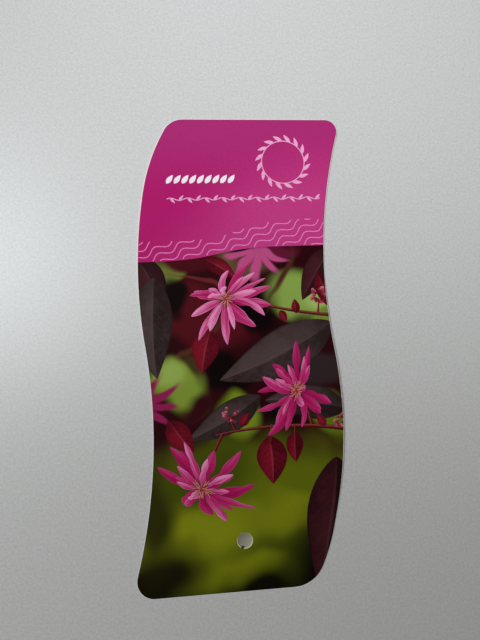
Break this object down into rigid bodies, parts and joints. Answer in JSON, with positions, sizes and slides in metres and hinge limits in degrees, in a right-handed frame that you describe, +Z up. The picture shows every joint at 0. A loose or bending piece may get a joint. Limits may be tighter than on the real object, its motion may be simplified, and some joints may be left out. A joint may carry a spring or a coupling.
{
  "type": "plastic plant label",
  "caption": "Thin S-shaped plastic plant label with rounded corners, a punched hanging hole, a plain heading field and a printed flower picture below a stepped seam.",
  "frame": {"origin": "under the middle of the label, on the flat underside of the card", "axes": "+Z up out of the printed face, +Y towards the label's top edge, +X to the right of the printed face"},
  "size_m": [0.065, 0.14, 0.0015],
  "materials": {
    "card_plastic": "white polypropylene sheet, satin, with clean die-cut edges",
    "heading_ink": "even magenta print under a soft satin varnish",
    "picture_ink": "photographic print in olive greens, dark purples and pinks under a soft satin varnish"
  },
  "bodies": {
    "root": {"card": "card_plastic", "heading_film": "heading_ink", "picture_film": "picture_ink"}
  },
  "joints": []
}
